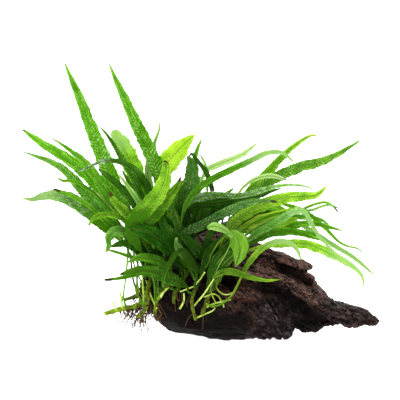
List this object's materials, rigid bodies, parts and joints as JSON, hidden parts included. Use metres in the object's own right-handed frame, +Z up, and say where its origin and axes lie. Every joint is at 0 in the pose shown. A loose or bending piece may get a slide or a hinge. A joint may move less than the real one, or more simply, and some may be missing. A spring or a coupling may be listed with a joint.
{
  "type": "java fern on driftwood",
  "caption": "Java fern on driftwood: a dark, worn lump of wood with green creeping stems and many long, narrow, arching fronds at its left end.",
  "frame": {"origin": "centre of the driftwood's flat underside, in the plane that it rests on", "axes": "+Z up; +X along the driftwood towards its pointed snout, to the right in the picture; +Y towards the back, away from the picture's camera"},
  "size_m": [0.3065, 0.16, 0.2341],
  "materials": {
    "wood": "wet, worn, almost black",
    "rhizome": "green creeping stem, smooth and slightly glossy",
    "root": "fine brown hairs",
    "frond_green": "living leaf, mid green, glossy and finely puckered",
    "frond_bright": "living leaf, bright yellow green, light shines through",
    "frond_dark": "living leaf, dark green and glossy",
    "frond_pale": "living leaf seen from its paler underside"
  },
  "bodies": {
    "root": {"driftwood": "wood", "frond_arch_over": "frond_dark", "frond_back_far_right": "frond_green", "frond_back_left": "frond_green", "frond_back_low": "frond_dark", "frond_back_middle": "frond_dark", "frond_back_right": "frond_green", "frond_back_upright": "frond_green", "frond_backlit_left": "frond_bright", "frond_backlit_right": "frond_bright", "frond_behind_right": "frond_green", "frond_bent_front": "frond_green", "frond_bright_centre": "frond_bright", "frond_bright_right_tip": "frond_bright", "frond_crumpled_yellow": "frond_bright", "frond_curled_tip": "frond_dark", "frond_dark_level": "frond_dark", "frond_dark_low_big": "frond_dark", "frond_dark_right_low": "frond_green", "frond_dark_stripe": "frond_dark", "frond_dark_upright": "frond_dark", "frond_far_right_long": "frond_bright", "frond_front_right_arch": "frond_bright", "frond_front_right_low": "frond_bright", "frond_glossy_level": "frond_green", "frond_grey_diagonal": "frond_dark", "frond_knee": "frond_pale", "frond_left_hooked": "frond_bright", "frond_left_low_broad": "frond_bright", "frond_left_middle": "frond_green", "frond_left_thin_tip": "frond_green", "frond_light_far_right": "frond_bright", "frond_light_right": "frond_pale", "frond_long_left_upper": "frond_green", "frond_long_right_arch": "frond_green", "frond_low_broad": "frond_green", "frond_low_yellow": "frond_bright", "frond_narrow_dark": "frond_dark", "frond_pale_arc": "frond_pale", "frond_pale_curl": "frond_pale", "frond_pale_short": "frond_green", "frond_right_small_tip": "frond_green", "frond_second_centre": "frond_bright", "frond_slip_between": "frond_dark", "frond_spade_tip": "frond_pale", "frond_tall_left": "frond_green", "frond_tall_right": "frond_green", "frond_thin_tail": "frond_green", "frond_yellow_broad": "frond_bright", "rhizome_back": "rhizome", "rhizome_drooping": "rhizome", "rhizome_front": "rhizome", "rhizome_left": "rhizome", "rhizome_low_left": "rhizome", "rhizome_middle": "rhizome", "rhizome_right": "rhizome", "rhizome_top": "rhizome", "rhizome_upper_left": "rhizome", "root_drooping": "root", "root_left": "root"}
  },
  "joints": []
}
